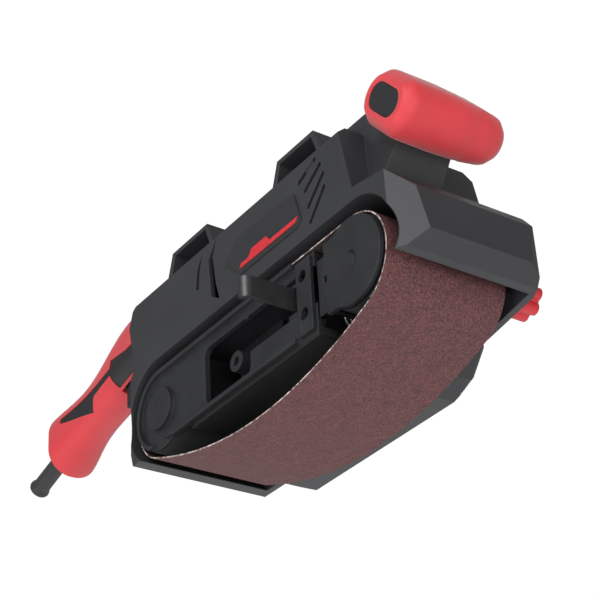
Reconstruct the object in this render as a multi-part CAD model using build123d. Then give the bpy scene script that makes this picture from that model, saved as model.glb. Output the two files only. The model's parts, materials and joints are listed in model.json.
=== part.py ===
from build123d import *
import math
import os

# Handheld belt sander for a 75 x 533 mm belt, in millimetres.
#
# The parts are drawn about the belt: X runs forward from the drive roller's axis, Y to the tool's
# left from the middle of the belt, and Z up from the working face of the platen. The belt is shown
# slack, with the tension lever open. save() then moves each part to the frame of the whole object:
# Z = 0 is the surface that it rests on, and X = Y = 0 is the middle of its outline seen from above.

# ---- driving dimensions -------------------------------------------------------------------
belt_width = 75.0
belt_length = 533.0
belt_thick = 1.0
roller_r = 25.0
take_up = 5.0                      # travel of the front roller when the lever is closed
slack_stretch = 1.105              # how much taller than round the slack corners are
leave_angle = 20.0                 # where the slack run leaves each corner, from straight down

wall = 3.0                         # moulded shells
fit = 0.05                         # radial running fit of a shaft
gap = 0.4                          # clearance beside moving parts

right_y = -41.0                    # outer faces of the housing
left_y = 49.0
top_z = 119.0
chamber_gap = 5.0                  # between the taut belt and its chamber
chamber_left_y = 45.0
skirt_z = 1.0

motor_x = 100.0
motor_z = 86.0
stator_r = 25.5
shaft_r = 4.0
roller_shaft_r = 5.0
motor_pulley_r = 8.0
driven_pulley_r = 16.0
pulley_y = (53.0, 64.0)
cover_y = 80.0                     # outer face of the drive cover
cover_floor_z = 4.0
cover_screw_places = [(-27, 30), (138, 32), (128, 92), (24, 80)]
port_y = 64.0                      # axis of the dust port
port_z = 55.0

grip_x = 220.0                     # middle of the front grip
grip_z = 98.0
grip_y = -8.5                      # the grip and its neck sit a little to the right
grip_half = 33.5
grip_turn = -50.0                  # its long axis, down from level at the front
neck_half = 15.5

handle_turn = 15.0                 # fall of the rear handle towards its end
handle_x = -113.0
handle_z = 102.0
handle_end_x = -176.0
boot_length = 45.0

knob_x = 196.0
knob_z = 25.0
knob_r = 11.0

lever_x = 129.0
lever_y = -28.0
lever_reach = 38.0

# ---- places worked out from them ----------------------------------------------------------
belt_r = roller_r + belt_thick
axis_z = belt_r
taut_centres = (belt_length - 2 * math.pi * (roller_r + belt_thick / 2)) / 2
front_x = taut_centres - take_up
corner_depth = belt_r * slack_stretch
leave_x = belt_r * math.sin(math.radians(leave_angle))
leave_depth = corner_depth * math.cos(math.radians(leave_angle))
leave_slope = slack_stretch * math.tan(math.radians(leave_angle))
slack_span = front_x + 2 * leave_x
belt_sag = leave_depth + leave_slope * slack_span / 4 - axis_z
chamber_r = belt_r + chamber_gap
pad_top = 3.8
frame_boss_z = 30.0
boot_end_x = handle_end_x - boot_length
length_shift = 7.8                 # from the drive roller's axis to the middle of the outline
side_shift = 5.8                   # from the middle of the belt to the middle of the outline


# ---- helpers ------------------------------------------------------------------------------
def save(name, shape):
    """Move a part to the object's frame and write its file."""
    export_step(Pos(-length_shift, -side_shift, belt_sag) * shape, f"parts/{name}.step")


def across(face, y0, y1):
    """A face drawn with X and Z, made solid from y0 to y1."""
    plane = Plane(origin=(0, y0, 0), x_dir=(1, 0, 0), z_dir=(0, -1, 0))
    return extrude(plane * face, amount=y1 - y0, dir=(0, 1, 0))


def along(face, x0, x1):
    """A face drawn with Y and Z, made solid from x0 to x1."""
    plane = Plane(origin=(x0, 0, 0), x_dir=(0, 1, 0), z_dir=(1, 0, 0))
    return extrude(plane * face, amount=x1 - x0, dir=(1, 0, 0))


def upward(face, z0, z1):
    """A face drawn with X and Y, made solid from z0 to z1."""
    return extrude(Pos(0, 0, z0) * face, amount=z1 - z0, dir=(0, 0, 1))


def outline(*points, round_by=0.0):
    """A closed straight-sided face, with its corners rounded if asked."""
    face = make_face(Polyline(*points, close=True))
    if round_by:
        face = fillet(face.vertices(), round_by)
    return face


def block(x0, x1, y0, y1, z0, z1):
    """A box between two corners."""
    centre = ((x0 + x1) / 2, (y0 + y1) / 2, (z0 + z1) / 2)
    return Pos(*centre) * Box(x1 - x0, y1 - y0, z1 - z0)


def rod_y(x, z, radius, y0, y1):
    """A round bar along Y."""
    return across(Pos(x, z) * Circle(radius), y0, y1)


def rod_x(y, z, radius, x0, x1):
    """A round bar along X."""
    return along(Pos(y, z) * Circle(radius), x0, x1)


def rod_z(x, y, radius, z0, z1):
    """A round bar along Z."""
    return upward(Pos(x, y) * Circle(radius), z0, z1)


def track(x0, x1, z, radius):
    """The outline of a loop round two equal rollers."""
    return Pos((x0 + x1) / 2, z) * SlotCenterToCenter(x1 - x0, 2 * radius)


# ---- rollers and belt ---------------------------------------------------------------------
def slack_loop(inset):
    """The face inside the slack belt's outer skin, or inside a line set in from it."""
    round_r = belt_r - inset
    deep_r = corner_depth - inset
    rear = (0, axis_z)
    front = (front_x, axis_z)
    top = Line((0, axis_z + round_r), (front_x, axis_z + round_r))
    front_top = CenterArc(front, round_r, 0, 90)
    rear_top = CenterArc(rear, round_r, 90, 90)
    stop = leave_angle
    front_low = EllipticalCenterArc(front, round_r, deep_r, start_angle=-90 + stop, arc_size=90 - stop)
    rear_low = EllipticalCenterArc(rear, round_r, deep_r, start_angle=180, arc_size=90 - stop)
    p0 = rear_low @ 1
    p2 = front_low @ 0
    slope = deep_r / round_r * math.tan(math.radians(stop))
    middle = ((p0.X + p2.X) / 2, p0.Y - slope * (p2.X - p0.X) / 2)
    bow = Bezier(p0, middle, p2)
    return make_face([top, front_top, front_low, bow, rear_low, rear_top])


def abrasive_belt():
    """The endless belt, hanging slack under the platen."""
    half = belt_width / 2
    return across(slack_loop(0), -half, half) - across(slack_loop(belt_thick), -half - 1, half + 1)


def drive_roller():
    """Aluminium drum with a bore for its shaft."""
    drum = rod_y(0, axis_z, roller_r - 2.0, -36.0, 37.0)
    return drum - rod_y(0, axis_z, roller_shaft_r, -40, 40)


def drive_sleeve():
    """Rubber sleeve bonded round the drive roller."""
    return rod_y(0, axis_z, roller_r - gap, -36.0, 37.0) - rod_y(0, axis_z, roller_r - 2.0, -37, 38)


def drive_shaft():
    """Steel shaft through the drive roller to the driven pulley."""
    return rod_y(0, axis_z, roller_shaft_r, -39.0, 67.0)


def toothed_pulley(x, z, radius, bore, teeth, y0, y1):
    """A toothed wheel with a flange each side and a bore."""
    wheel = rod_y(x, z, radius, y0, y1)
    groove = 0.55 * math.pi * radius / teeth
    for i in range(teeth):
        a = 2 * math.pi * i / teeth
        wheel -= rod_y(x + radius * math.cos(a), z + radius * math.sin(a), groove, y0 - 1, y1 + 1)
    rims = rod_y(x, z, radius + 1.0, y0 - 1.2, y0) + rod_y(x, z, radius + 1.0, y1, y1 + 1.2)
    return wheel + rims - rod_y(x, z, bore, y0 - 3, y1 + 3)


def toothed_belt():
    """The ribbed rubber belt from the motor pulley to the driven pulley."""
    inner = belt_run(driven_pulley_r + 0.3, motor_pulley_r + 0.3)
    outer = belt_run(driven_pulley_r + 2.3, motor_pulley_r + 2.3)
    y0, y1 = pulley_y
    return across(outer, y0 + 0.6, y1 - 0.6) - across(inner, y0, y1)


def belt_run(big_r, small_r):
    """The face inside a belt round the driven pulley and the motor pulley."""
    dx = motor_x
    dz = motor_z - axis_z
    centres = math.hypot(dx, dz)
    lean = math.asin((big_r - small_r) / centres)
    heading = math.atan2(dz, dx)
    a_up = heading + math.pi / 2 - lean
    a_down = heading - math.pi / 2 + lean
    big = [(big_r * math.cos(a), axis_z + big_r * math.sin(a)) for a in (a_up, a_down)]
    small = [(motor_x + small_r * math.cos(a), motor_z + small_r * math.sin(a)) for a in (a_up, a_down)]
    body = make_face(Polyline(big[0], small[0], small[1], big[1], close=True))
    return body + Pos(0, axis_z) * Circle(big_r) + Pos(motor_x, motor_z) * Circle(small_r)


def ring_y(x, z, outer_r, inner_r, y0, y1):
    """A plain ring about an axis along Y."""
    return rod_y(x, z, outer_r, y0, y1) - rod_y(x, z, inner_r, y0 - 1, y1 + 1)


def front_roller():
    """Free front roller, hollow, with seats for its two bearings."""
    tube = ring_y(front_x, axis_z, roller_r - gap, 13.0, -36.0, 36.0)
    web = ring_y(front_x, axis_z, 13.0, 8.0, -24.0, 24.0)
    return tube + web


def front_bearings():
    """A ball bearing in each end of the front roller."""
    pair = [ring_y(front_x, axis_z, 13.0, roller_shaft_r + fit, y, y + 8.0) for y in (-33.0, 25.0)]
    return Compound(pair)


def front_axle():
    """Fixed axle of the front roller; its right end is the point that it steers about."""
    return rod_y(front_x, axis_z, roller_shaft_r, -36.6, 42.5)


# ---- roller carriage and tension lever ----------------------------------------------------
def carriage_face(rear_x, radius):
    """The outline shared by the two arms of the carriage."""
    nose = Pos(front_x, axis_z) * Circle(radius)
    box = Pos((rear_x + front_x) / 2, axis_z) * Rectangle(front_x - rear_x, 2 * radius - 7)
    return nose + box


def carriage_side_plate():
    """D-shaped plate that closes the right end of the front roller."""
    face = carriage_face(160.5, roller_r - 1.2)
    plate = across(face, -40.0, -37.2)
    mark = rod_y(front_x, axis_z, 5.2, -41, -39.2) - rod_y(front_x - 2.2, axis_z, 5.2, -42, -39)
    slot = block(159.5, 162.0, -41, -36, 24.0, 28.0)
    return plate - mark - slot


def roller_carriage():
    """Yoke that carries the front axle and slides in the frame."""
    left = across(carriage_face(152.0, 14.0), 38.5, 41.5)
    bar = block(151.0, 154.4, -37.2, 41.5, 14.0, 38.0)
    right = block(151.0, 162.0, -37.2, -36.6, 10.0, 42.0)
    tongue = block(134.0, 151.0, -8.0, 8.0, 23.0, 29.0)
    yoke = left + bar + right + tongue
    slot = across(Pos(front_x, axis_z) * SlotOverall(15.0, 10.2), 38, 42)
    return yoke - slot


def tension_spring():
    """Coil spring that presses the carriage forward."""
    coil = Helix(pitch=3.3, height=15.0, radius=11.0)
    wire = sweep(Plane(origin=coil @ 0, z_dir=coil % 0) * Circle(0.9), path=coil)
    return Pos(135.0, 0, axis_z) * Rot(0, 90, 0) * wire


def lever_bracket():
    """Steel bracket on the frame with two round holes and the ears for the lever's pin."""
    column = block(134.6, 147.0, -39.0, -36.6, 5.5, 48.0)
    for z in (17.0, 39.0):
        column -= rod_y(140.0, z, 3.4, -41, -34)
    ears = block(123.0, 136.6, -36.6, -22.0, 38.0, 40.4) + block(123.0, 136.6, -36.6, -22.0, 21.6, 24.0)
    hole = rod_z(lever_x, lever_y, 2.0 + fit, 18, 44)
    rear_cut = block(120, 134.2, -45, -36.0, 20, 42)
    return column + ears - hole - rear_cut


def lever_pin():
    """Pivot pin of the tension lever."""
    return rod_z(lever_x, lever_y, 2.0, 21.0, 41.0) + rod_z(lever_x, lever_y, 3.2, 41.0, 42.2)


def tension_lever():
    """Pressed steel lever, open: it stands out to the right with a curled finger end."""
    hub = rod_z(lever_x, lever_y, 5.0, 24.6, 37.4)
    arm = block(lever_x - 1.4, lever_x + 1.4, lever_y - lever_reach + 3, lever_y, 25.0, 37.0)
    curl = Pos(lever_x - 4.0, lever_y - lever_reach + 3) * (Circle(5.4) - Circle(2.6))
    keep = Pos(lever_x - 4.0 + 3, lever_y - lever_reach) * Rectangle(6.0, 6.0)
    end = upward(curl & keep, 25.0, 37.0)
    cam = rod_z(lever_x + 1.6, lever_y, 4.6, 27.0, 35.0)
    return hub + arm + end + cam - rod_z(lever_x, lever_y, 2.0 + fit, 20, 44)


# ---- frame and platen ---------------------------------------------------------------------
def belt_frame():
    """Cast box inside the belt loop, with a rimmed plate on its right side."""
    rim_r = roller_r - 0.7
    top = axis_z + rim_r
    side = outline((0, pad_top), (148, pad_top), (148, top), (0, top)) + Pos(0, axis_z) * Circle(rim_r)
    frame = across(side, -40.0, 41.0)
    inner = outline((0, pad_top + 2.5), (149, pad_top + 2.5), (149, top - 2.5), (0, top - 2.5))
    inner += Pos(0, axis_z) * Circle(rim_r - 2.5)
    frame -= across(inner, -41.0, -37.5)
    frame -= block(-30, 27.6, -36.6, 37.6, -5, 60)
    frame -= block(31, 149, -34.0, 37.6, 7.0, 46.8)
    frame += block(126.0, 130.0, -18.0, 38.0, 6.0, 47.0)
    frame += block(45.0, 87.0, -14.0, -11.5, 6.0, 47.0)
    frame += rod_y(66.0, 27.0, 6.0, -31.0, -14.0)
    frame -= rod_y(66.0, 27.0, 2.6, -32.0, -16.0)
    frame -= across(outline((45, 8), (89, 8), (89, 42), (45, 42), round_by=5), -41, -33.9)
    frame -= block(88.0, 150.0, -41, -33.9, 20.0, 42.0)
    frame -= block(132.0, 150.0, -41, -36.6, 0.0, 60.0)
    frame -= rod_y(140.0, 17.0, 3.4, -41, -33)
    frame -= block(-18.0, 12.0, -41, -37.5, 0.0, 5.0)
    frame += rod_y(0, axis_z, 12.5, -40.2, -36.6)
    frame -= rod_y(0, axis_z, 11.0, -39.4, -30.0) + rod_y(0, axis_z, 12.0, 37.0, 42.0)
    for x in (50.0, 110.0):
        frame += rod_y(x, frame_boss_z, 5.0, 41.0, chamber_left_y)
        frame -= rod_y(x, frame_boss_z, 1.7, 37.0, chamber_left_y + 1)
    return frame


def platen():
    """Steel wear plate over the pad, bent up at both ends."""
    flat = outline((31.5, 0.7), (148, 0.7), (149.5, 1.2), (149.5, 1.7), (30, 1.7), (30, 1.2))
    return across(flat, -37.0, 37.0)


def platen_pad():
    """Cork pad between the platen and the frame."""
    return block(31.0, 148.0, -36.5, 36.5, 1.75, pad_top)


# ---- housing ------------------------------------------------------------------------------
def belt_housing():
    """The lower block: rear skirt, left wall, chamber roof and nose."""
    side = outline((-27, skirt_z), (-34, 27), (-33, 51), (-23, 64), (190, 64), (214, 60.5),
                   (225, 48), (228.5, 23), (219.5, 15), (178, 7.5), (20, 7.5), (8, skirt_z))
    plan = outline((-34.5, -36), (-29, right_y), (214, right_y), (229, -27), (229, 36),
                   (224, 45), (214, left_y), (-30, left_y), (-34.5, 44))
    return across(side, right_y, left_y) & upward(plan, -5, 70)


def motor_side(inset):
    """The upper housing seen from the side, set in by a wall if asked."""
    face = outline((-23, 56), (-30, 91), (-26, 101), (-2, 115), (10, top_z), (168, top_z),
                   (180, 108), (190, 56))
    return offset(face, -inset, kind=Kind.INTERSECTION) if inset else face


def motor_end(inset):
    """The upper housing seen from the end, set in by a wall if asked."""
    face = outline((right_y, 50), (right_y, 103), (-25, 117), (-12, top_z), (22, top_z),
                   (36, 115), (left_y, 103), (left_y, 50))
    return offset(face, -inset, kind=Kind.INTERSECTION) if inset else face


def motor_housing(inset):
    """The upper block over the motor, or the space inside it."""
    return across(motor_side(inset), -60, 60) & along(motor_end(inset), -60, 220)


def neck(inset):
    """The faceted neck that carries the front grip, or the space inside it."""
    side = outline((158, 96), (164, top_z + 3), (188, top_z + 3), (205, 114), (216, 104), (214, 92),
                   (199, 74), (190, 62), (170, 62))
    if inset:
        side = offset(side, -inset, kind=Kind.INTERSECTION)
    half = neck_half - inset
    end = outline((-half - 5, 55), (-half, 100), (-half + 3, 125), (half - 3, 125), (half, 100),
                  (half + 5, 55))
    return across(side, -60, 60) & along(Pos(grip_y, 0) * end, 150, 230)


def handle_ring(x, width, height, grow):
    """One oval section of the rear handle, square to its length."""
    z = handle_z + (x - handle_x) * math.tan(math.radians(handle_turn))
    if x > -70:
        z = handle_root_z(x)
    plane = Plane(origin=(x, 0, z), x_dir=(0, 1, 0), z_dir=(1, 0, 0))
    face = RectangleRounded(width + 2 * grow, height + 2 * grow, min(width, height) / 2 - 1 + grow)
    return plane * face


def handle_root_z(x):
    """Height of the handle's middle where it comes out of the housing."""
    join_z = handle_z + (-70 - handle_x) * math.tan(math.radians(handle_turn))
    share = (x + 70) / 50
    return join_z + (88 - join_z) * share * share * (3 - 2 * share)


def handle_bar(grow, start_x=-20.0, end_x=handle_end_x):
    """The rear handle as one lofted bar."""
    sections = [(-20, 44, 50), (-45, 40, 46), (-72, 34, 42), (-110, 30, 37), (-146, 28, 35),
                (-165, 33, 41), (-176, 36, 44)]
    rings = [handle_ring(x, w, h, grow) for x, w, h in sections if end_x - 1 <= x <= start_x + 1]
    return loft(rings, ruled=False)


def housing():
    """Both shells before they are split."""
    body = belt_housing() + motor_housing(0) + neck(0) + handle_bar(-3.0) + grip_bar(0)
    chamber = track(0, taut_centres, axis_z, chamber_r) + outline((-19, -5), (214, -5), (214, 20), (-19, 20))
    body -= across(chamber, right_y - 1, chamber_left_y)
    room = motor_housing(wall) & block(-60, 230, -60, 60, 57 + wall, 130)
    hollow = room + neck(4.0) + handle_bar(-6.0)
    body -= hollow & block(handle_end_x + 3, 230, -60, 60, 0, 130)
    body -= right_vents() + wall_openings()
    return body


def right_vents():
    """Four slanted slots in front of the badge and two tall ones behind it."""
    slots = []
    for x0, z0, x1, z1 in ((161, 99, 144, 92), (165, 94, 149, 84), (167, 87, 151, 73), (167, 79, 152, 63)):
        length = math.hypot(x1 - x0, z1 - z0)
        turn = math.degrees(math.atan2(z1 - z0, x1 - x0))
        slot = Pos((x0 + x1) / 2, (z0 + z1) / 2) * Rot(0, 0, turn) * SlotOverall(length, 3.2)
        slots.append(across(slot, right_y - 1, right_y + 5))
    tall = outline((67, 104), (57, 93), (59, 68), (67, 63), (64, 74), (61.5, 92))
    thin = outline((52, 103), (45, 92), (43, 80), (46.5, 79), (48, 90))
    return slots[0] + slots[1] + slots[2] + slots[3] + across(tall, -42, -36) + across(thin, -42, -36)


def wall_openings():
    """Holes in the left wall for the shafts, the tracking screw and the sight slot."""
    holes = rod_y(0, axis_z, 9.0, 44, 60) + rod_y(motor_x, motor_z, 11.0 , 44, 60)
    holes += rod_y(knob_x, knob_z, 3.2, 44, 60)
    sight = Pos(knob_x - 0.5, knob_z + 4) * Rot(0, 0, 90) * SlotOverall(9.0, 6.4)
    for x in (50.0, 110.0):
        holes += rod_y(x, frame_boss_z, 1.7, 44, 60)
    for x, z in cover_screw_places:
        holes += rod_y(x, z, 1.7, 44, 60)
    gland = rod_x(0, handle_middle_z(handle_end_x), 4.2, handle_end_x - 5, handle_end_x + 6)
    trigger_hole = block(-96, -62, -6.5, 6.5, 60, 100)
    lock_hole = rod_y(-78, handle_middle_z(-78) + 3, 4.6, 0, 30)
    return holes + across(sight, 44, 50) + gland + trigger_hole + lock_hole


def handle_middle_z(x):
    """Height of the straight part of the handle's middle."""
    return handle_z + (x - handle_x) * math.tan(math.radians(handle_turn))


def half(body, side):
    """The right (-1) or left (+1) half of a body."""
    box = block(-400, 400, -200, 0, -50, 300) if side < 0 else block(-400, 400, 0, 200, -50, 300)
    return body & box


# ---- front grip ---------------------------------------------------------------------------
def grip_section(y, long, short):
    """One obround section of the front grip."""
    plane = Plane(origin=(0, y, 0), x_dir=(1, 0, 0), z_dir=(0, -1, 0))
    return plane * (Pos(grip_x, grip_z) * Rot(0, 0, grip_turn) * SlotOverall(long, short))


def grip_bar(grow):
    """Bar moulded with the neck that the grip is moulded round."""
    face = Pos(grip_x, grip_z) * Rot(0, 0, grip_turn) * SlotOverall(26.0 + grow, 14.0 + grow)
    return across(face, grip_y - grip_half + 4, grip_y + grip_half - 4)


def front_grip():
    """Soft red grip, narrower to the left, with bevelled ends and a recess in each."""
    near = grip_y - grip_half
    far = grip_y + grip_half
    rings = [(near + 5, 42, 31), (near + 25, 42.5, 31.5), (far - 25, 41, 30), (far - 6, 38, 27)]
    body = loft([grip_section(y, a, b) for y, a, b in rings])
    body += loft([grip_section(near, 35, 23), grip_section(near + 5, 42, 31)], ruled=True)
    body += loft([grip_section(far - 6, 38, 27), grip_section(far, 30, 19)], ruled=True)
    body -= grip_bar(0)
    body -= neck(0)
    for y in (near - 1, far - 4):
        body -= across(Pos(grip_x, grip_z) * Rot(0, 0, grip_turn) * SlotOverall(27.0, 15.0), y, y + 5)
    return body


def grip_inserts():
    """Dark plugs in the two ends of the front grip."""
    face = Pos(grip_x, grip_z) * Rot(0, 0, grip_turn) * SlotOverall(26.6, 14.6)
    near = grip_y - grip_half
    far = grip_y + grip_half
    return Compound([across(face, near + 0.3, near + 4), across(face, far - 4, far - 0.3)])


# ---- rear handle --------------------------------------------------------------------------
def rear_grip():
    """Soft red jacket moulded over the rear handle, open at the trigger and the side panels."""
    shell = handle_bar(0.0) - handle_bar(-3.0)
    shell &= block(handle_end_x + 1, -46, -60, 60, 0, 200)
    shell -= side_panel_area()
    shell -= block(-97, -61, -7.5, 7.5, 60, 99)
    shell -= rod_y(-78, handle_middle_z(-78) + 3, 6.0, 0, 40)
    return shell


def side_panel_area():
    """The two slanted side areas that the red jacket leaves open."""
    face = outline((-40, 108), (-78, 107), (-97, 109), (-99, 104), (-120, 101.5), (-149, 98.5),
                   (-163, 96.5), (-163, 93), (-126, 86), (-121, 95), (-99, 99), (-97, 92),
                   (-89, 80), (-77, 71), (-40, 69))
    return across(face, -40, -9) + across(face, 9, 40)


def side_panels():
    """Dark ribbed panels in the sides of the rear handle."""
    layer = (handle_bar(-0.6) - handle_bar(-3.0)) & side_panel_area()
    layer &= block(-164, -47, -60, 60, 0, 200)
    layer -= rod_y(-78, handle_middle_z(-78) + 3, 6.0, 0, 40)
    return Compound(list(layer.solids()))


def trigger():
    """Switch trigger under the rear handle."""
    face = outline((-66, 97), (-66, 79), (-72, 76.5), (-84, 79), (-93, 75), (-93, 92), round_by=1.2)
    return across(face, -6.0, 6.0)


def lock_button():
    """Round button that holds the trigger in."""
    z = handle_middle_z(-78) + 3
    return rod_y(-78, z, 4.2, 9.0, 18.5)


def switch_block():
    """Switch body inside the handle."""
    return block(-98, -66, -5.0, 5.0, 102.0, 109)


def cord_boot():
    """Ribbed rubber strain relief with the bore for the cord."""
    z = handle_middle_z(handle_end_x)
    tip = handle_end_x + 1
    length = tip - boot_end_x
    boot = rod_x(0, 0, 5.6, -length, 0) + rod_x(0, 0, 7.0, -length, -length + 3.5)
    for i in range(6):
        boot += rod_x(0, 0, 6.6, -8 - 5.2 * i, -5.6 - 5.2 * i)
    boot -= rod_x(0, 0, 3.5, -length - 1, 1)
    return Pos(tip - 2.8, 0, z) * Rot(0, -handle_turn, 0) * boot


# ---- motor --------------------------------------------------------------------------------
def stator():
    """Laminated field core with a bore and two pole horns."""
    core = ring_y(motor_x, motor_z, stator_r, 17.0, -6.0, 30.0)
    for z in (-1, 1):
        core -= across(Pos(motor_x, motor_z + z * 19.5) * Rectangle(18, 6), -7, 31)
    return core


def field_coils():
    """Copper field windings at both ends of the stator."""
    coils = [ring_y(motor_x, motor_z, 22.0, 17.0, y, y + 6.0) for y in (-12.2, 30.2)]
    return Compound(coils)


def armature_shaft():
    """Motor shaft, carried in a bearing at each end."""
    return rod_y(motor_x, motor_z, shaft_r, -37.0, 66.0)


def armature_core():
    """Slotted armature laminations."""
    core = ring_y(motor_x, motor_z, 16.0, shaft_r, -6.0, 30.0)
    for i in range(12):
        a = math.radians(30 * i)
        core -= rod_y(motor_x + 15.4 * math.cos(a), motor_z + 15.4 * math.sin(a), 1.4, -7, 31)
    return core


def commutator():
    """Copper commutator."""
    drum = ring_y(motor_x, motor_z, 10.5, shaft_r, -26.0, -14.0)
    for i in range(12):
        drum -= Pos(motor_x, 0, motor_z) * Rot(0, 30 * i, 0) * block(9.3, 12, -27, -13, -0.4, 0.4)
    return drum


def fan():
    """Cooling fan beside the armature: a disc and blades."""
    disc = ring_y(motor_x, motor_z, 19.0, shaft_r, 37.4, 38.8)
    hub = ring_y(motor_x, motor_z, 8.0, shaft_r, 37.4, 42.0)
    for i in range(10):
        disc += Pos(motor_x, 0, motor_z) * Rot(0, 36 * i, 0) * block(7.5, 18.5, 38.0, 42.0, -0.8, 0.8)
    return disc + hub


def shaft_bearings(x, z, bore, outer, places):
    """Plain rings standing for the ball bearings on a shaft."""
    return Compound([ring_y(x, z, outer, bore + fit, y0, y1) for y0, y1 in places])


def brush_holders():
    """Two brush tubes over and under the commutator."""
    tubes = []
    for side in (-1, 1):
        z = motor_z + side * 16.5
        tube = Pos(motor_x, -20, z) * Box(9, 11, 10) - Pos(motor_x, -20, z) * Box(6.4, 8, 12)
        tubes.append(tube)
    return Compound(tubes)


def brushes():
    """Carbon brushes in their tubes."""
    blocks = [Pos(motor_x, -20, motor_z + side * 16.0) * Box(6.0, 7.6, 9.6) for side in (-1, 1)]
    return Compound(blocks)


def bearing_plate():
    """Metal plate behind the drive cover that carries both shafts' left bearings."""
    big = Pos(0, axis_z) * Circle(16) + Pos(motor_x, motor_z) * Circle(15)
    web = outline((-5, 38), (5, 14), (104, 74), (94, 98))
    plate = across(big + web, left_y, left_y + 2.0)
    return plate - rod_y(0, axis_z, 9.0, 40, 60) - rod_y(motor_x, motor_z, 9.0, 40, 60)


# ---- drive cover and dust port ------------------------------------------------------------
def cover_face(inset):
    """Outline of the drive cover, set in by a wall if asked."""
    face = outline((-33, 34), (-27, 13), (-10, cover_floor_z), (119, cover_floor_z + 0.5), (134, 11),
                   (147, 27), (147, 64), (137, 94), (118, 109), (86, 109), (44, 94), (-20, 74), (-31, 62))
    return offset(face, -inset, kind=Kind.INTERSECTION) if inset else face


def drive_cover():
    """Faceted cover over the toothed belt and the dust channel."""
    shell = across(cover_face(0), left_y, cover_y)
    shell = chamfer(shell.faces().sort_by(Axis.Y)[-1].edges(), 5.5)
    room = across(cover_face(wall), left_y - 1, cover_y - wall)
    room = chamfer(room.faces().sort_by(Axis.Y)[-1].edges(), 4.0)
    shell -= room
    shell -= rod_x(port_y, port_z, 13.6, -60, -16)
    for x, z in cover_screw_places:
        shell += rod_y(x, z, 4.4, left_y + 2.4, cover_y - 2) & across(cover_face(0.5), 0, cover_y - 1)
        shell -= rod_y(x, z, 1.7, left_y - 1, cover_y + 1)
        shell -= rod_y(x, z, 3.6, cover_y - 8.0, cover_y + 1)
    return shell


def cover_screws():
    """Screws that hold the drive cover."""
    screws = []
    for x, z in cover_screw_places:
        screw = rod_y(x, z, 1.6, left_y - 4.0, cover_y - 8.0) + rod_y(x, z, 3.3, cover_y - 8.0, cover_y - 5.6)
        screws.append(screw - across(Pos(x, z) * RegularPolygon(1.4, 6), cover_y - 7.0, cover_y))
    return Compound(screws)


def dust_port():
    """Round spigot behind the drive cover for the dust bag or a hose."""
    tube = rod_x(port_y, port_z, 13.5, -66, -22) - rod_x(port_y, port_z, 11.5, -67, -21)
    collar = rod_x(port_y, port_z, 16.0, -37.0, -34.0) - rod_x(port_y, port_z, 12.5, -38, -33)
    return tube + collar


# ---- tracking knob ------------------------------------------------------------------------
def tracking_knob():
    """Lobed knob that steers the front axle."""
    knob = rod_y(knob_x, knob_z, knob_r - 2.6, left_y + 2.5, left_y + 14.0)
    for i in range(6):
        a = math.radians(60 * i)
        knob += rod_y(knob_x + 7.4 * math.cos(a), knob_z + 7.4 * math.sin(a), 3.6, left_y + 2.5, left_y + 14.0)
    return knob - rod_y(knob_x, knob_z, 2.5, left_y, left_y + 9)


def tracking_screw():
    """Screw turned by the knob; its tip bears on the carriage's left arm."""
    return rod_y(knob_x, knob_z, 2.5, 42.5, left_y + 9)


# ---- small outside parts ------------------------------------------------------------------
def top_foot(x0, x1):
    """Arched foot across the top, for standing the tool upside down."""
    base = top_z - 6
    outer = outline((x0, base), (x0 + 7, top_z + 12), (x1 - 7, top_z + 12), (x1, base))
    inner = outline((x0 + 3.4, base - 1), (x0 + 9.3, top_z + 9.2), (x1 - 9.3, top_z + 9.2), (x1 - 3.4, base - 1))
    arch = across(outer, -29, 29) - across(inner, -30, 30)
    return arch - motor_housing(0)


def badge():
    """Blank six-sided badge plate on the right side."""
    face = outline((75, 79), (86, 90), (141, 87.5), (146, 70), (142, 66.5), (89, 66.5))
    return across(face, right_y - 0.8, right_y)


def badge_stripe():
    """Red stripe on the badge."""
    face = outline((89, 69.5), (141, 69.5), (144, 72.2), (118, 72.2), (115, 76), (101, 76), (98, 72.2), (91, 72.2))
    return across(face, right_y - 1.2, right_y - 0.8)


def shell_screws():
    """Screws that join the two housing shells."""
    places = [(-15, 88), (20, 98), (154, 98), (177, 70)]
    screws = []
    for x, z in places:
        screw = rod_y(x, z, 1.6, 2.0, left_y - 1) + rod_y(x, z, 3.4, left_y - 1, left_y + 1.2)
        screws.append(screw - across(Pos(x, z) * RegularPolygon(1.5, 6), left_y, left_y + 3))
    return Compound(screws), places


def frame_screws():
    """Screws from the left wall into the frame's bosses."""
    screws = []
    for x in (50.0, 110.0):
        stem = rod_y(x, frame_boss_z, 1.6, 37.6, left_y)
        screws.append(stem + rod_y(x, frame_boss_z, 3.2, left_y, left_y + 2.0))
    return Compound(screws)


def screw_bosses(places, side):
    """Bosses and holes for the shell screws in one shell."""
    bosses = Part()
    holes = Part()
    for x, z in places:
        if side < 0:
            bosses += rod_y(x, z, 4.0, right_y + 1, 0)
            holes += rod_y(x, z, 1.7, -20, 1)
        else:
            bosses += rod_y(x, z, 4.0, 0, left_y - 1)
            holes += rod_y(x, z, 1.7, -1, left_y + 1)
            holes += rod_y(x, z, 3.6, left_y - 1, left_y + 3)
    return bosses & motor_housing(0), holes


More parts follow.
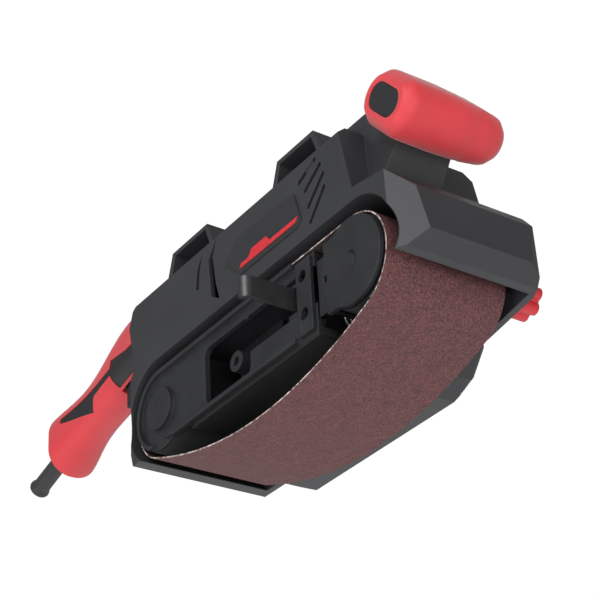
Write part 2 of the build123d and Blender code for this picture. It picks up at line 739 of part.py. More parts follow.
# ---- write every node ---------------------------------------------------------------------
def main():
    os.makedirs("parts", exist_ok=True)
    screws, places = shell_screws()
    whole = housing()
    for name, side in (("housing_right", -1), ("housing_left", 1)):
        bosses, holes = screw_bosses(places, side)
        save(name, half(whole, side) + bosses - holes)
    save("shell_screws", screws)
    save("abrasive_belt", abrasive_belt())
    save("drive_roller", drive_roller())
    save("drive_sleeve", drive_sleeve())
    save("drive_shaft", drive_shaft())
    save("driven_pulley", toothed_pulley(0, axis_z, driven_pulley_r, roller_shaft_r, 32, *pulley_y))
    save("motor_pulley", toothed_pulley(motor_x, motor_z, motor_pulley_r, shaft_r, 16, *pulley_y))
    save("toothed_belt", toothed_belt())
    save("front_roller", front_roller())
    save("front_bearings", front_bearings())
    save("front_axle", front_axle())
    save("carriage_side_plate", carriage_side_plate())
    save("roller_carriage", roller_carriage())
    save("tension_spring", tension_spring())
    save("lever_bracket", lever_bracket())
    save("lever_pin", lever_pin())
    save("tension_lever", tension_lever())
    save("belt_frame", belt_frame())
    save("platen", platen())
    save("platen_pad", platen_pad())
    save("frame_screws", frame_screws())
    save("front_grip", front_grip())
    save("grip_inserts", grip_inserts())
    save("rear_grip", rear_grip())
    save("side_panels", side_panels())
    save("trigger", trigger())
    save("lock_button", lock_button())
    save("switch_block", switch_block())
    save("cord_boot", cord_boot())
    save("stator", stator())
    save("field_coils", field_coils())
    save("armature_shaft", armature_shaft())
    save("armature_core", armature_core())
    save("commutator", commutator())
    save("fan", fan())
    save("motor_bearings", shaft_bearings(motor_x, motor_z, shaft_r, 9.0, ((-36.5, -30.0), (43.5, 50.5))))
    save("drive_bearings", shaft_bearings(0, axis_z, roller_shaft_r, 9.0, ((-38.9, -37.0), (42.5, 50.5))))
    save("brush_holders", brush_holders())
    save("brushes", brushes())
    save("bearing_plate", bearing_plate())
    save("drive_cover", drive_cover())
    save("cover_screws", cover_screws())
    save("dust_port", dust_port())
    save("tracking_knob", tracking_knob())
    save("tracking_screw", tracking_screw())
    save("top_foot_rear", top_foot(-6, 46))
    save("top_foot_front", top_foot(104, 152))
    save("badge", badge())
    save("badge_stripe", badge_stripe())


main()
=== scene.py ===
import json
import math

import bpy
from mathutils import Matrix, Vector


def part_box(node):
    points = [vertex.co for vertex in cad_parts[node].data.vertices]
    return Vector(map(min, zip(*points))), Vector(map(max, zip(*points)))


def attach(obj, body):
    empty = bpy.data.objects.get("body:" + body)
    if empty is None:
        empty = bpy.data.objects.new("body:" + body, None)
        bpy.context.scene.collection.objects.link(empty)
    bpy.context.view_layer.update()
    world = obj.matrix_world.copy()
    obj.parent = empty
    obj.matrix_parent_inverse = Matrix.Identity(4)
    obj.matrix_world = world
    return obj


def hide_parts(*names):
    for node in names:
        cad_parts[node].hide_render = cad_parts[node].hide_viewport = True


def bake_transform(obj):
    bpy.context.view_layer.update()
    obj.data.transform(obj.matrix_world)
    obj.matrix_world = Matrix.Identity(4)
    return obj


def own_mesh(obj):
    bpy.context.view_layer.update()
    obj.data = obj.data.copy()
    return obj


bl_info = {
    "name": "Belt sander",
    "version": (1, 0, 0),
    "blender": (4, 5, 0),
    "location": "View3D > Sidebar > Sander",
    "description": "Builds the finished surfaces of a handheld belt sander round its frame",
    "category": "Add Mesh",
}

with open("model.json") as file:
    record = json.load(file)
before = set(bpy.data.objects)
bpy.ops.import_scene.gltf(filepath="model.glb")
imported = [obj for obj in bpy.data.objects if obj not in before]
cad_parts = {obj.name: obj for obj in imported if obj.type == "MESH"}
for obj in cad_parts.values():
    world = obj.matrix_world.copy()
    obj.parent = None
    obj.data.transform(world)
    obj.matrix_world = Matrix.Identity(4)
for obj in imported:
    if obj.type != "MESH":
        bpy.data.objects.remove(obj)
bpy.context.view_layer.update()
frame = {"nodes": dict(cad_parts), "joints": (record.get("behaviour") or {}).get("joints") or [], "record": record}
NODES = frame["nodes"]
JOINTS = {joint["name"]: joint for joint in frame["joints"]}
MM = 0.001


def joint_place(name):
    """Where a joint's axis stands."""
    return Vector(JOINTS[name]["pos_m"])


DRIVE = joint_place("drive_roller_spin")
FRONT = joint_place("front_roller_spin")
BELT_LOW, BELT_HIGH = (Vector(corner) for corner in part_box("abrasive_belt"))
BELT_R = BELT_HIGH.z - DRIVE.z
STROKE = JOINTS["roller_take_up"]["range_m"][1]
# how far the end of the slack run lies inside the front corner
TUCK = 0.2 * MM

# lean of the front grip's oval section, and of the cord boot below level
GRIP_TURN = math.radians(50.0)
BOOT_FALL = math.radians(15.0)


# ---- sizes and colours that can be changed -------------------------------------------------
class SanderFinish(bpy.types.PropertyGroup):
    """Colours and surface sizes."""

    housing: bpy.props.FloatVectorProperty(
        name="Housing", description="Colour of the moulded housing", subtype="COLOR", size=3,
        default=(0.027, 0.028, 0.031))
    red: bpy.props.FloatVectorProperty(
        name="Red", description="Colour of the soft grips and the knob", subtype="COLOR", size=3,
        default=(0.55, 0.022, 0.031))
    grit: bpy.props.FloatVectorProperty(
        name="Grit", description="Colour of the abrasive", subtype="COLOR", size=3,
        default=(0.058, 0.019, 0.020))
    casting: bpy.props.FloatVectorProperty(
        name="Casting", description="Colour of the frame inside the belt", subtype="COLOR", size=3,
        default=(0.021, 0.022, 0.025))
    grain: bpy.props.FloatProperty(
        name="Mould grain", description="Size of one grain of the moulded texture", unit="LENGTH",
        default=0.0007, min=0.0001, max=0.01)


class SanderBelt(bpy.types.PropertyGroup):
    """Shape of the slack belt."""

    thickness: bpy.props.FloatProperty(
        name="Belt thickness", description="Cloth and grit together", unit="LENGTH",
        default=0.0008, min=0.0005, max=0.003)
    leave: bpy.props.FloatProperty(
        name="Leaving angle", description="Where the slack run leaves each corner, from straight down",
        subtype="ANGLE", default=math.radians(20.0), min=0.05, max=0.8)
    stretch: bpy.props.FloatProperty(
        name="Corner stretch", description="How much taller than round a slack corner is",
        default=1.105, min=1.0, max=1.5)


class SanderStage(bpy.types.PropertyGroup):
    """Camera and floor."""

    azimuth: bpy.props.FloatProperty(
        name="Azimuth", description="Camera direction round the tool", subtype="ANGLE",
        default=math.radians(53.18))
    elevation: bpy.props.FloatProperty(
        name="Elevation", description="Camera height angle", subtype="ANGLE",
        default=math.radians(-30.39))
    roll: bpy.props.FloatProperty(
        name="Roll", description="Camera roll", subtype="ANGLE", default=math.radians(-3.66))
    distance: bpy.props.FloatProperty(
        name="Distance", description="Camera to the aimed point", unit="LENGTH", default=0.9)
    lens: bpy.props.FloatProperty(
        name="Lens", description="Focal length", unit="CAMERA", default=103.68, min=1.0)
    aim: bpy.props.FloatVectorProperty(
        name="Aim", description="Middle of the view, from the middle of the drive roller",
        subtype="TRANSLATION", size=3, default=(0.12012, -0.0261, 0.01277))
    fill: bpy.props.FloatProperty(
        name="Fill", description="Strength of the even light from all round", default=0.26, min=0.0)
    floor_drop: bpy.props.FloatProperty(
        name="Floor drop", description="How far the floor lies under the tool", unit="LENGTH", default=0.8)


# ---- materials ------------------------------------------------------------------------------
def new_material(name):
    """A new material's node tree, shader and object coordinates.

    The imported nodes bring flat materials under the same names, so those are renamed first.
    """
    plain = bpy.data.materials.get(name)
    if plain:
        plain.name = "plain_" + name
    material = bpy.data.materials.new(name)
    material.use_nodes = True
    tree = material.node_tree
    shader = tree.nodes["Principled BSDF"]
    coords = tree.nodes.new("ShaderNodeTexCoord")
    return tree, shader, coords.outputs["Object"]


def scaled(tree, coords, scale):
    """Coordinates stretched by a Mapping node."""
    node = tree.nodes.new("ShaderNodeMapping")
    node.inputs["Scale"].default_value = scale
    tree.links.new(coords, node.inputs["Vector"])
    return node.outputs["Vector"]


def noise(tree, coords, scale, detail=3.0, rough=0.5):
    """Noise, one grain about 1 / scale metres across."""
    node = tree.nodes.new("ShaderNodeTexNoise")
    node.inputs["Scale"].default_value = scale
    node.inputs["Detail"].default_value = detail
    node.inputs["Roughness"].default_value = rough
    tree.links.new(coords, node.inputs["Vector"])
    return node.outputs["Fac"]


def cells(tree, coords, scale):
    """Voronoi cells, one about 1 / scale metres across."""
    node = tree.nodes.new("ShaderNodeTexVoronoi")
    node.inputs["Scale"].default_value = scale
    tree.links.new(coords, node.inputs["Vector"])
    return node.outputs["Distance"]


def ramp(tree, value, low, high, low_colour, high_colour):
    """Blend between two colours as a value goes from low to high."""
    node = tree.nodes.new("ShaderNodeValToRGB")
    node.color_ramp.elements[0].position = low
    node.color_ramp.elements[1].position = high
    node.color_ramp.elements[0].color = (*low_colour, 1)
    node.color_ramp.elements[1].color = (*high_colour, 1)
    tree.links.new(value, node.inputs["Fac"])
    return node.outputs["Color"]


def spread(tree, value, low, high):
    """Map a 0 to 1 value to low to high."""
    node = tree.nodes.new("ShaderNodeMapRange")
    node.inputs["To Min"].default_value = low
    node.inputs["To Max"].default_value = high
    tree.links.new(value, node.inputs["Value"])
    return node.outputs["Result"]


def bumped(tree, shader, height, depth, under=None):
    """Bump of a depth in metres, over another bump or softened edges if given."""
    node = tree.nodes.new("ShaderNodeBump")
    node.inputs["Strength"].default_value = 1.0
    node.inputs["Distance"].default_value = depth
    tree.links.new(height, node.inputs["Height"])
    if under:
        tree.links.new(under, node.inputs["Normal"])
    tree.links.new(node.outputs["Normal"], shader.inputs["Normal"])
    return node.outputs["Normal"]


def softened(tree, radius):
    """Normals rounded over an edge."""
    node = tree.nodes.new("ShaderNodeBevel")
    node.samples = 6
    node.inputs["Radius"].default_value = radius
    return node.outputs["Normal"]


def waves(tree, coords, scale, direction, distortion=0.0, kind="BANDS"):
    """Waves across one axis, or round it where kind is RINGS."""
    node = tree.nodes.new("ShaderNodeTexWave")
    node.wave_type = kind
    node.bands_direction = direction
    node.rings_direction = direction
    node.inputs["Scale"].default_value = scale
    node.inputs["Distortion"].default_value = distortion
    tree.links.new(coords, node.inputs["Vector"])
    return node.outputs["Fac"]


def multiplied(tree, first, second):
    """Two colours multiplied. The colour pair of a Mix node is sockets 6 and 7, and its result output 2."""
    node = tree.nodes.new("ShaderNodeMix")
    node.data_type = "RGBA"
    node.blend_type = "MULTIPLY"
    node.inputs["Factor"].default_value = 1.0
    tree.links.new(first, node.inputs[6])
    tree.links.new(second, node.inputs[7])
    return node.outputs[2]


def shade(colour, factor):
    """A colour made lighter or darker."""
    return tuple(min(1.0, c * factor) for c in colour)


def moulded(name, colour, roughness=0.48, grain=0.0007, depth=0.00004, vary=0.10):
    """Spark-textured moulded plastic."""
    tree, shader, coords = new_material(name)
    broad = noise(tree, coords, 26.0, 2.0)
    fine = noise(tree, coords, 1.0 / grain, 4.0, 0.6)
    tint = ramp(tree, broad, 0.3, 0.7, shade(colour, 1 - vary), shade(colour, 1 + vary))
    tree.links.new(tint, shader.inputs["Base Color"])
    tree.links.new(spread(tree, fine, roughness - 0.07, roughness + 0.09), shader.inputs["Roughness"])
    shader.inputs["Specular IOR Level"].default_value = 0.45
    bumped(tree, shader, fine, depth, softened(tree, 0.8 * MM))


def soft_rubber(name, colour, roughness=0.52, sheen=0.25):
    """Soft-touch rubber with a fine orange-peel skin."""
    tree, shader, coords = new_material(name)
    broad = noise(tree, coords, 34.0, 2.0)
    peel = noise(tree, coords, 900.0, 3.0)
    tint = ramp(tree, broad, 0.3, 0.7, shade(colour, 0.92), shade(colour, 1.06))
    tree.links.new(tint, shader.inputs["Base Color"])
    tree.links.new(spread(tree, peel, roughness - 0.06, roughness + 0.08), shader.inputs["Roughness"])
    shader.inputs["Sheen Weight"].default_value = sheen
    shader.inputs["Sheen Roughness"].default_value = 0.5
    bumped(tree, shader, peel, 0.00003)


def grit_cloth(name, colour):
    """Coated abrasive: closely set grains, light and dark, in a resin coat."""
    tree, shader, coords = new_material(name)
    grains = cells(tree, coords, 1100.0)
    specks = noise(tree, coords, 1000.0, 3.0, 0.8)
    clumps = noise(tree, coords, 220.0, 4.0, 0.65)
    tint = ramp(tree, specks, 0.36, 0.64, shade(colour, 0.45), shade(colour, 3.0))
    wide = ramp(tree, clumps, 0.3, 0.7, (0.78, 0.78, 0.78), (1.2, 1.16, 1.16))
    tree.links.new(multiplied(tree, tint, wide), shader.inputs["Base Color"])
    tree.links.new(spread(tree, specks, 0.55, 0.9), shader.inputs["Roughness"])
    first = bumped(tree, shader, grains, 0.00025)
    bumped(tree, shader, specks, 0.0002, first)


def cloth_back(name, colour, weave=412.7):
    """Plain cloth backing, woven both ways."""
    tree, shader, coords = new_material(name)
    both = tree.nodes.new("ShaderNodeMath")
    both.operation = "MULTIPLY"
    for socket, direction in zip(both.inputs, ("X", "Y")):
        tree.links.new(waves(tree, coords, weave, direction, 0.6), socket)
    tint = ramp(tree, both.outputs[0], 0.1, 0.7, shade(colour, 0.8), shade(colour, 1.15))
    tree.links.new(tint, shader.inputs["Base Color"])
    shader.inputs["Roughness"].default_value = 0.85
    bumped(tree, shader, both.outputs[0], 0.0001)


def torn_edge(name):
    """Pale frayed edge of the abrasive cloth."""
    tree, shader, coords = new_material(name)
    fray = noise(tree, coords, 300.0, 5.0, 0.75)
    tint = ramp(tree, fray, 0.44, 0.60, (0.10, 0.05, 0.045), (0.62, 0.56, 0.52))
    tree.links.new(tint, shader.inputs["Base Color"])
    shader.inputs["Roughness"].default_value = 0.9
    bumped(tree, shader, fray, 0.0002)


def painted_casting(name, colour, roughness=0.42):
    """Die casting under dark paint, with faint flow marks."""
    tree, shader, coords = new_material(name)
    cloud = noise(tree, coords, 60.0, 5.0, 0.6)
    pits = noise(tree, coords, 1400.0, 2.0)
    tint = ramp(tree, cloud, 0.3, 0.72, shade(colour, 0.82), shade(colour, 1.22))
    tree.links.new(tint, shader.inputs["Base Color"])
    tree.links.new(spread(tree, cloud, roughness - 0.08, roughness + 0.12), shader.inputs["Roughness"])
    shader.inputs["Metallic"].default_value = 0.25
    bumped(tree, shader, pits, 0.00004, softened(tree, 0.6 * MM))


def turned_metal(name, colour, roughness=0.28, metallic=1.0, stretch=(300, 2400, 300)):
    """Metal with fine tool marks."""
    tree, shader, coords = new_material(name)
    marks = noise(tree, scaled(tree, coords, stretch), 1.0, 3.0, 0.6)
    stain = noise(tree, coords, 90.0, 4.0)
    tint = ramp(tree, stain, 0.3, 0.7, shade(colour, 0.85), shade(colour, 1.1))
    tree.links.new(tint, shader.inputs["Base Color"])
    tree.links.new(spread(tree, marks, roughness - 0.08, roughness + 0.14), shader.inputs["Roughness"])
    shader.inputs["Metallic"].default_value = metallic
    bumped(tree, shader, marks, 0.00003)


def laminated(name):
    """Stacked steel sheets, seen on edge along Y."""
    tree, shader, coords = new_material(name)
    sheets = waves(tree, coords, 320.0, "Y")
    tint = ramp(tree, sheets, 0.2, 0.8, (0.16, 0.16, 0.17), (0.42, 0.42, 0.43))
    tree.links.new(tint, shader.inputs["Base Color"])
    shader.inputs["Metallic"].default_value = 0.9
    shader.inputs["Roughness"].default_value = 0.45
    bumped(tree, shader, sheets, 0.0001)


def wound(name, colour):
    """Enamelled wire wound in turns."""
    tree, shader, coords = new_material(name)
    turns = waves(tree, coords, 220.0, "Y", 0.8, "RINGS")
    tint = ramp(tree, turns, 0.1, 0.8, shade(colour, 0.4), shade(colour, 1.1))
    tree.links.new(tint, shader.inputs["Base Color"])
    shader.inputs["Metallic"].default_value = 0.85
    shader.inputs["Roughness"].default_value = 0.35
    bumped(tree, shader, turns, 0.0003)


def make_materials():
    """Make every finish once. Pieces find them again by name."""
    finish = bpy.context.scene.sander_finish
    housing = tuple(finish.housing)
    red = tuple(finish.red)
    moulded("housing_plastic", housing, 0.46, finish.grain)
    moulded("panel_plastic", shade(housing, 0.55), 0.5, finish.grain)
    moulded("badge_plastic", shade(housing, 0.8), 0.32, 0.0004, 0.00001, 0.05)
    moulded("red_plastic", red, 0.4, 0.0006, 0.00002, 0.06)
    soft_rubber("red_rubber", red)
    soft_rubber("dark_rubber", (0.016, 0.016, 0.017), 0.6, 0.1)
    grit_cloth("abrasive", tuple(finish.grit))
    cloth_back("belt_back", (0.045, 0.034, 0.030))
    torn_edge("belt_edge")
    painted_casting("cast_metal", tuple(finish.casting))
    # near-black steel for the platen: painted shade for the dark gap between the frame and the belt
    turned_metal("platen_shade_steel", (0.03, 0.03, 0.032), 0.5, 0.6)
    turned_metal("steel", (0.52, 0.52, 0.53))
    turned_metal("dark_steel", (0.075, 0.077, 0.08), 0.36, 0.8, (1800, 1800, 160))
    laminated("laminations")
    wound("copper", (0.75, 0.33, 0.16))
    moulded("carbon", (0.02, 0.02, 0.021), 0.6, 0.0005)
    turned_metal("brass", (0.72, 0.52, 0.22), 0.3)
    # near-black pad: partly a graphite pad's own dark colour, partly painted shade of the gap inside the belt
    moulded("cork", (0.012, 0.011, 0.010), 0.8, 0.0009, 0.00008)


def material(name):
    """A finish made by make_materials."""
    return bpy.data.materials[name]


# ---- modelling helpers ------------------------------------------------------------------------
def deselect():
    """Nothing selected, nothing in edit mode."""
    if bpy.context.object and bpy.context.object.mode != "OBJECT":
        bpy.ops.object.mode_set(mode="OBJECT")
    bpy.ops.object.select_all(action="DESELECT")


def make_active(obj):
    """Only this object selected and active."""
    deselect()
    obj.select_set(True)
    bpy.context.view_layer.objects.active = obj


def apply_modifier(obj, kind, **values):
    """Add a modifier and apply it at once."""
    make_active(obj)
    modifier = obj.modifiers.new(kind.lower(), kind)
    for key, value in values.items():
        setattr(modifier, key, value)
    bpy.ops.object.modifier_apply(modifier=modifier.name)


def settle(obj, name, body, finish, smooth=30.0):
    """Name a finished piece, put its place in its mesh, colour it and let it ride on its body.

    finish and body may be None: the piece then keeps its own materials, or is left unattached to any body.
    """
    make_active(obj)
    bpy.ops.object.transform_apply(location=True, rotation=True, scale=True)
    obj.name = name
    obj.data.name = name
    bpy.ops.object.shade_smooth_by_angle(angle=math.radians(smooth))
    if finish:
        obj.data.materials.clear()
        obj.data.materials.append(material(finish))
    if body:
        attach(obj, body)


def ribbon(path):
    """A band as wide as the belt: one edge of a square, drawn out along a path of X and Z places."""
    y0, y1 = BELT_LOW.y, BELT_HIGH.y
    square = 1.0
    deselect()
    bpy.ops.mesh.primitive_grid_add(x_subdivisions=1, y_subdivisions=1, size=square, location=(0, 0, 0))
    band = bpy.context.object
    bpy.ops.object.mode_set(mode="EDIT")
    bpy.ops.mesh.select_all(action="DESELECT")
    bpy.ops.object.mode_set(mode="OBJECT")
    for vertex in band.data.vertices:
        vertex.select = vertex.co.x < 0
    bpy.ops.object.mode_set(mode="EDIT")
    bpy.ops.mesh.delete(type="VERT")
    bpy.ops.mesh.select_all(action="SELECT")
    x, z = path[0]
    bpy.ops.transform.resize(value=(1, y1 - y0, 1), center_override=(0, 0, 0))
    bpy.ops.transform.translate(value=(x - square / 2, (y0 + y1) / 2, z))
    for nx, nz in path[1:]:
        bpy.ops.mesh.extrude_region_move(TRANSFORM_OT_translate={"value": (nx - x, 0, nz - z)})
        x, z = nx, nz
    bpy.ops.object.mode_set(mode="OBJECT")
    return band


def thicken(band, thickness):
    """Give a band its thickness inwards, and cloth, grit and edge finishes."""
    for finish in ("abrasive", "belt_back", "belt_edge"):
        band.data.materials.append(material(finish))
    apply_modifier(band, "SOLIDIFY", thickness=thickness, offset=-1.0, material_offset=1,
                   material_offset_rim=2, use_even_offset=True)


# ---- abrasive belt ----------------------------------------------------------------------------
def belt_facts():
    """Lengths that the four stretches of the belt share."""
    belt = bpy.context.scene.sander_belt
    deep = BELT_R * belt.stretch
    return {
        "deep": deep,
        "leave": belt.leave,
        "leave_x": BELT_R * math.sin(belt.leave),
        "leave_depth": deep * math.cos(belt.leave),
        "slope": belt.stretch * math.tan(belt.leave),
        "keep": 1.0 / belt.stretch,
        "thickness": belt.thickness,
    }


def quarter_path(centre, side, steps=24):
    """Quarter round from the roller's level up to the top run."""
    places = []
    for i in range(steps + 1):
        turn = math.pi / 2 * i / steps
        places.append((centre.x + side * BELT_R * math.cos(turn), centre.z + BELT_R * math.sin(turn)))
    return places


def corner_path(centre, side, deep, leave, steps=24):
    """A taller quarter from the roller's level down to where the slack run leaves."""
    places = []
    for i in range(steps + 1):
        turn = (math.pi / 2 - leave) * i / steps
        places.append((centre.x + side * BELT_R * math.cos(turn), centre.z - deep * math.sin(turn)))
    return places


def top_path(steps=12):
    """From the drive roller's level over both rollers to the front roller's level."""
    apart = (FRONT.x - DRIVE.x) / steps
    between = [(DRIVE.x + apart * i, BELT_HIGH.z) for i in range(1, steps)]
    return quarter_path(DRIVE, -1) + between + quarter_path(FRONT, 1)[::-1]


def slack_path(facts, steps=56, tail_steps=6):
    """The parabola between the two corners, with a tail as long as the front roller's travel.

    The tail lies a little inside the front corner, so that no gap opens as the roller moves out.
    """
    x0 = DRIVE.x - facts["leave_x"]
    x1 = FRONT.x + facts["leave_x"]
    middle = (x0 + x1) / 2
    span = x1 - x0
    sag = facts["slope"] * span / 4
    places = []
    for i in range(steps + 1):
        x = x0 + span * i / steps
        depth = facts["leave_depth"] + sag * (1 - ((x - middle) / (span / 2)) ** 2)
        places.append((x, DRIVE.z - depth))
    for i in range(1, tail_steps + 1):
        x = x1 + STROKE * i / tail_steps
        depth = facts["deep"] * math.sqrt(1 - ((x - FRONT.x) / BELT_R) ** 2) - TUCK
        places.append((x, DRIVE.z - depth))
    return places


def face_out(band):
    """Turn a band's faces away from the middle of the loop."""
    centre = Vector(((DRIVE.x + FRONT.x) / 2, DRIVE.y, DRIVE.z))
    face = band.data.polygons[len(band.data.polygons) // 2]
    near = min((DRIVE, FRONT, centre), key=lambda p: (p - face.center).length)
    if face.normal.dot(face.center - near) < 0:
        make_active(band)
        bpy.ops.object.mode_set(mode="EDIT")
        bpy.ops.mesh.select_all(action="SELECT")
        bpy.ops.mesh.flip_normals()
        bpy.ops.object.mode_set(mode="OBJECT")


def draw_tight(band):
    """Give a slack stretch its own copy of its mesh."""
    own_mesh(band)


def draw_run_tight(band):
    """Give the slack run its own copy of its mesh."""
    draw_tight(band)


class SANDER_OT_belt(bpy.types.Operator):
    """Abrasive belt: a top run over both rollers, two lower corners and the slack run below"""

    bl_idname = "sander.belt"
    bl_label = "Abrasive belt"

    def execute(self, context):
        facts = belt_facts()
        rear = ribbon(corner_path(DRIVE, -1, facts["deep"], facts["leave"]))
        front = ribbon(corner_path(FRONT, 1, facts["deep"], facts["leave"]))
        top = ribbon(top_path())
        low = ribbon(slack_path(facts))
        pieces = ((rear, "belt_rear_corner", "housing"), (front, "belt_front_corner", "carriage"),
                  (top, "belt_top_run", None), (low, "belt_slack_run", "housing"))
        for band, name, body in pieces:
            face_out(band)
            thicken(band, facts["thickness"])
            settle(band, name, body, None)
            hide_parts("abrasive_belt")
        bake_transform(top)
        draw_tight(rear)
        draw_tight(front)
        draw_run_tight(low)
        return {"FINISHED"}


# ---- grips and cord boot ------------------------------------------------------------------------
def part_ends(ring, shift, middle):
    """Move the two halves of a round face apart along X. Points nearer than middle stay."""
    for side in (-1, 1):
        bpy.ops.object.mode_set(mode="EDIT")
        bpy.ops.mesh.select_mode(type="VERT")
        bpy.ops.mesh.select_all(action="DESELECT")
        bpy.ops.object.mode_set(mode="OBJECT")
        for vertex in ring.data.vertices:
            vertex.select = vertex.co.x * side > middle
        bpy.ops.object.mode_set(mode="EDIT")
        bpy.ops.transform.translate(value=(side * shift, 0, 0))
    bpy.ops.object.mode_set(mode="OBJECT")


def drawn_tube(rings, sides, obround=False):
    """A closed bar along +Z whose rings are (place, width, height), round or with straight sides."""
    deselect()
    z, wide, high = rings[0]
    bpy.ops.mesh.primitive_circle_add(
        vertices=sides, radius=high / 2, fill_type="NGON", location=(0, 0, z))
    bar = bpy.context.object
    bpy.ops.object.transform_apply(location=True, rotation=True, scale=True)
    if obround:
        part_ends(bar, (wide - high) / 2, high * 0.02)
    make_active(bar)
    bpy.ops.object.mode_set(mode="EDIT")
    bpy.ops.mesh.select_mode(type="FACE")
    bpy.ops.mesh.select_all(action="SELECT")
    for place, w, h in rings[1:]:
        bpy.ops.mesh.extrude_region_move(TRANSFORM_OT_translate={"value": (0, 0, place - z)})
        bpy.ops.transform.resize(value=(w / wide, h / high, 1), center_override=(0, 0, place))
        z, wide, high = place, w, h
    bpy.ops.mesh.select_all(action="SELECT")
    bpy.ops.mesh.remove_doubles(threshold=0.000001)
    bpy.ops.mesh.normals_make_consistent(inside=False)
    bpy.ops.object.mode_set(mode="OBJECT")
    return bar


class SANDER_OT_front_grip(bpy.types.Operator):
    """Soft front grip with rounded ends and a pocket for each dark plug"""

    bl_idname = "sander.front_grip"
    bl_label = "Front grip"

    def execute(self, context):
        low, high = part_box("front_grip")
        length = high.y - low.y
        # millimetres from an end, width, height
        pocket = ((4.05, 27.2, 15.2), (0.6, 27.2, 15.2), (0.15, 27.6, 15.6), (0.0, 28.6, 16.6))
        wide_end = ((0.0, 32.6, 20.8), (0.35, 34.4, 22.4), (5.0, 40.6, 29.6), (6.6, 41.6, 30.6),
                    (9.0, 42.0, 31.0))
        narrow_end = ((0.0, 29.4, 18.0), (0.35, 30.4, 19.0), (4.6, 36.2, 25.2), (6.4, 37.4, 26.4),
                      (9.0, 38.2, 27.2))
        # share of the length, width, height, with a shallow groove before the narrow end
        body = ((0.45, 42.2, 31.2), (0.68, 40.8, 29.9), (0.705, 40.0, 29.2), (0.73, 40.4, 29.6))
        rings = [(z * MM, w * MM, h * MM) for z, w, h in pocket + wide_end]
        rings += [(length * share, w * MM, h * MM) for share, w, h in body]
        rings += [(length - z * MM, w * MM, h * MM) for z, w, h in narrow_end[::-1] + pocket[::-1]]
        grip = drawn_tube(rings, 64, obround=True)
        make_active(grip)
        middle = (low + high) / 2
        along_y = Matrix.Rotation(math.radians(-90.0), 4, "X")
        place = Matrix.Translation((middle.x, low.y, middle.z))
        grip.matrix_world = place @ Matrix.Rotation(GRIP_TURN, 4, "Y") @ along_y
        settle(grip, "front_grip_skin", "housing", "red_rubber", 38.0)
        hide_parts("front_grip")
        return {"FINISHED"}


class SANDER_OT_boot(bpy.types.Operator):
    """Smooth rubber sleeve that guards the cord, with a rolled mouth"""

    bl_idname = "sander.boot"
    bl_label = "Cord boot"

    def execute(self, context):
        low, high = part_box("cord_boot")
        mouth_r = 7.0 * MM
        root_r = 5.6 * MM
        across = Vector((math.sin(BOOT_FALL), 0, math.cos(BOOT_FALL)))
        middle_y = (low.y + high.y) / 2
        mouth = Vector((low.x, middle_y, low.z)) + across * mouth_r
        root = Vector((high.x, middle_y, high.z)) - across * root_r
        length = (root - mouth).length
        # millimetres from the mouth, radius: the hole for the cord, the rolled lip, the taper behind it
        lip = ((9.0, 3.5), (1.2, 3.5), (0.4, 3.9), (0.0, 4.7), (0.0, 5.9), (0.4, 6.6), (1.4, 6.95),
               (2.6, 6.8), (4.0, 6.1), (6.0, 5.75))
        rings = [(z * MM, 2 * r * MM, 2 * r * MM) for z, r in lip]
        waist = 11.3 * MM
        rings += [(length * 0.6, waist, waist), (length, 2 * root_r, 2 * root_r)]
        boot = drawn_tube(rings, 48)
        make_active(boot)
        boot.matrix_world = Matrix.Translation(mouth) @ Matrix.Rotation(math.pi / 2 - BOOT_FALL, 4, "Y")
        settle(boot, "cord_boot_sleeve", "housing", "dark_rubber", 40.0)
        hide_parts("cord_boot")
        return {"FINISHED"}


# ---- the CAD pieces that stay --------------------------------------------------------------------
# the platen takes a near-black steel: its darkness is painted shade of the gap inside the belt loop
OWN_FINISH = {"platen": "platen_shade_steel"}


def record_slots():
    """Node name to material slot, as the record says."""
    return {part["node"]: part["material_slot"] for part in frame["record"]["subparts"]}


class SANDER_OT_finishes(bpy.types.Operator):
    """Every finish, and the CAD pieces that keep their shape"""

    bl_idname = "sander.finishes"
    bl_label = "Finishes"

    def execute(self, context):
        make_materials()
        slots = record_slots()
        for name, obj in NODES.items():
            finish = material(OWN_FINISH.get(name, slots[name]))
            if not obj.data.materials:
                obj.data.materials.append(finish)
            for i in range(len(obj.data.materials)):
                obj.data.materials[i] = finish
        return {"FINISHED"}


# ---- stage ------------------------------------------------------------------------------------------
# name, place, size and power of each light, in metres and watts
LIGHTS = (
    ("key", (1.1, -1.6, 0.7), 1.1, 24.0),
    ("front_low", (1.6, -0.5, -0.6), 0.9, 11.0),
    ("side_low", (0.1, -1.4, -0.6), 0.9, 7.0),
    ("back", (-1.4, 1.2, 1.2), 0.9, 22.0),
)
LIT_POINT = Vector((0.05, 0.0, 0.06))
WHITE = (1, 1, 1, 1)
SEEN_WHITE = 1.02
FLOOR_WIDTH = 60.0
FLOOR_GLOW = 0.42


def area_light(name, place, size, power):
    """A square soft light that faces the tool."""
    data = bpy.data.lights.new(name, "AREA")
    data.shape = "SQUARE"
    data.size = size
    data.energy = power
    obj = bpy.data.objects.new(name, data)
    bpy.context.collection.objects.link(obj)
    obj.location = place
    obj.rotation_euler = (LIT_POINT - Vector(place)).to_track_quat("-Z", "Y").to_euler()


def paint_world(tree, fill):
    """White behind the object, and a weaker white that lights it."""
    background = tree.nodes["Background"]
    background.inputs["Color"].default_value = WHITE
    path = tree.nodes.new("ShaderNodeLightPath")
    level = tree.nodes.new("ShaderNodeMapRange")
    level.inputs["To Min"].default_value = fill
    level.inputs["To Max"].default_value = SEEN_WHITE
    tree.links.new(path.outputs["Is Camera Ray"], level.inputs["Value"])
    tree.links.new(level.outputs["Result"], background.inputs["Strength"])


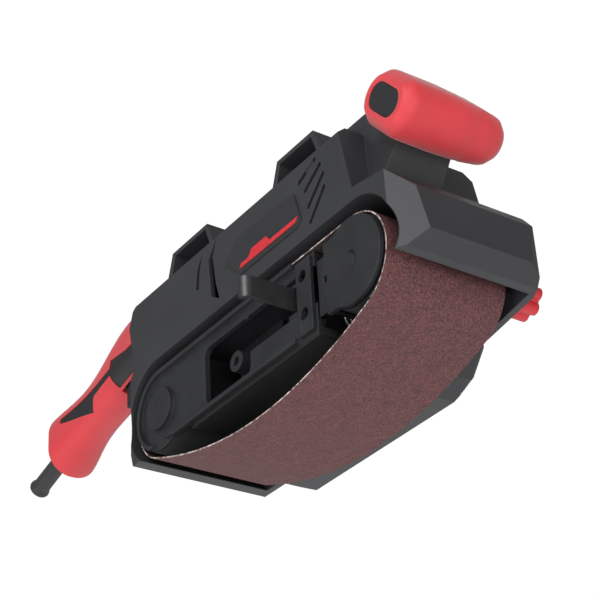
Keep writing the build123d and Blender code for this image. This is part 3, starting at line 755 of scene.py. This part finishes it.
def lay_floor(drop):
    """A wide sheet of pale paper that gives off a little light of its own."""
    bpy.ops.mesh.primitive_plane_add(size=FLOOR_WIDTH, location=(0, 0, -drop))
    floor = bpy.context.object
    floor.name = "floor"
    tree, shader, coords = new_material("studio_paper")
    tint = ramp(tree, noise(tree, coords, 3.0), 0.3, 0.7, (0.86, 0.86, 0.86), (0.9, 0.9, 0.9))
    tree.links.new(tint, shader.inputs["Base Color"])
    shader.inputs["Roughness"].default_value = 0.9
    shader.inputs["Emission Color"].default_value = WHITE
    shader.inputs["Emission Strength"].default_value = FLOOR_GLOW
    floor.data.materials.append(material("studio_paper"))


def set_camera(stage):
    """A camera at the stage's direction, distance and roll."""
    data = bpy.data.cameras.new("camera")
    data.lens = stage.lens
    data.sensor_width = 36.0
    camera = bpy.data.objects.new("camera", data)
    bpy.context.collection.objects.link(camera)
    level = math.cos(stage.elevation)
    away = Vector((math.sin(stage.azimuth) * level, -math.cos(stage.azimuth) * level,
                   math.sin(stage.elevation)))
    camera.location = DRIVE + Vector(stage.aim) + away * stage.distance
    turn = (-away).to_track_quat("-Z", "Y").to_matrix()
    camera.rotation_euler = (turn @ Matrix.Rotation(stage.roll, 3, "Z")).to_euler()
    bpy.context.scene.camera = camera


class SANDER_OT_stage(bpy.types.Operator):
    """Pale floor, soft lights and camera"""

    bl_idname = "sander.stage"
    bl_label = "Stage"

    def execute(self, context):
        stage = context.scene.sander_stage
        deselect()
        lay_floor(stage.floor_drop)
        context.scene.view_settings.view_transform = "Standard"
        world = bpy.data.worlds.new("studio")
        context.scene.world = world
        world.use_nodes = True
        paint_world(world.node_tree, stage.fill)
        for light in LIGHTS:
            area_light(*light)
        set_camera(stage)
        return {"FINISHED"}


class SANDER_PT_panel(bpy.types.Panel):
    """Lists the pieces"""

    bl_label = "Belt sander"
    bl_idname = "SANDER_PT_panel"
    bl_space_type = "VIEW_3D"
    bl_region_type = "UI"
    bl_category = "Sander"

    def draw(self, context):
        for operator in OPERATORS:
            self.layout.operator(operator.bl_idname)
        for group in (context.scene.sander_finish, context.scene.sander_belt, context.scene.sander_stage):
            box = self.layout.box()
            for key in group.__annotations__:
                box.prop(group, key)


OPERATORS = (SANDER_OT_finishes, SANDER_OT_belt, SANDER_OT_front_grip, SANDER_OT_boot, SANDER_OT_stage)
GROUPS = (SanderFinish, SanderBelt, SanderStage)


def register():
    """Register the classes and hang the groups on the scene."""
    for cls in GROUPS + OPERATORS + (SANDER_PT_panel,):
        bpy.utils.register_class(cls)
    bpy.types.Scene.sander_finish = bpy.props.PointerProperty(type=SanderFinish)
    bpy.types.Scene.sander_belt = bpy.props.PointerProperty(type=SanderBelt)
    bpy.types.Scene.sander_stage = bpy.props.PointerProperty(type=SanderStage)


def unregister():
    """Undo register."""
    del bpy.types.Scene.sander_stage
    del bpy.types.Scene.sander_belt
    del bpy.types.Scene.sander_finish
    for cls in reversed(GROUPS + OPERATORS + (SANDER_PT_panel,)):
        bpy.utils.unregister_class(cls)


def main():
    """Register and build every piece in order."""
    register()
    for operator in OPERATORS:
        group, name = operator.bl_idname.split(".")
        getattr(getattr(bpy.ops, group), name)()


if __name__ == "__main__":
    main()
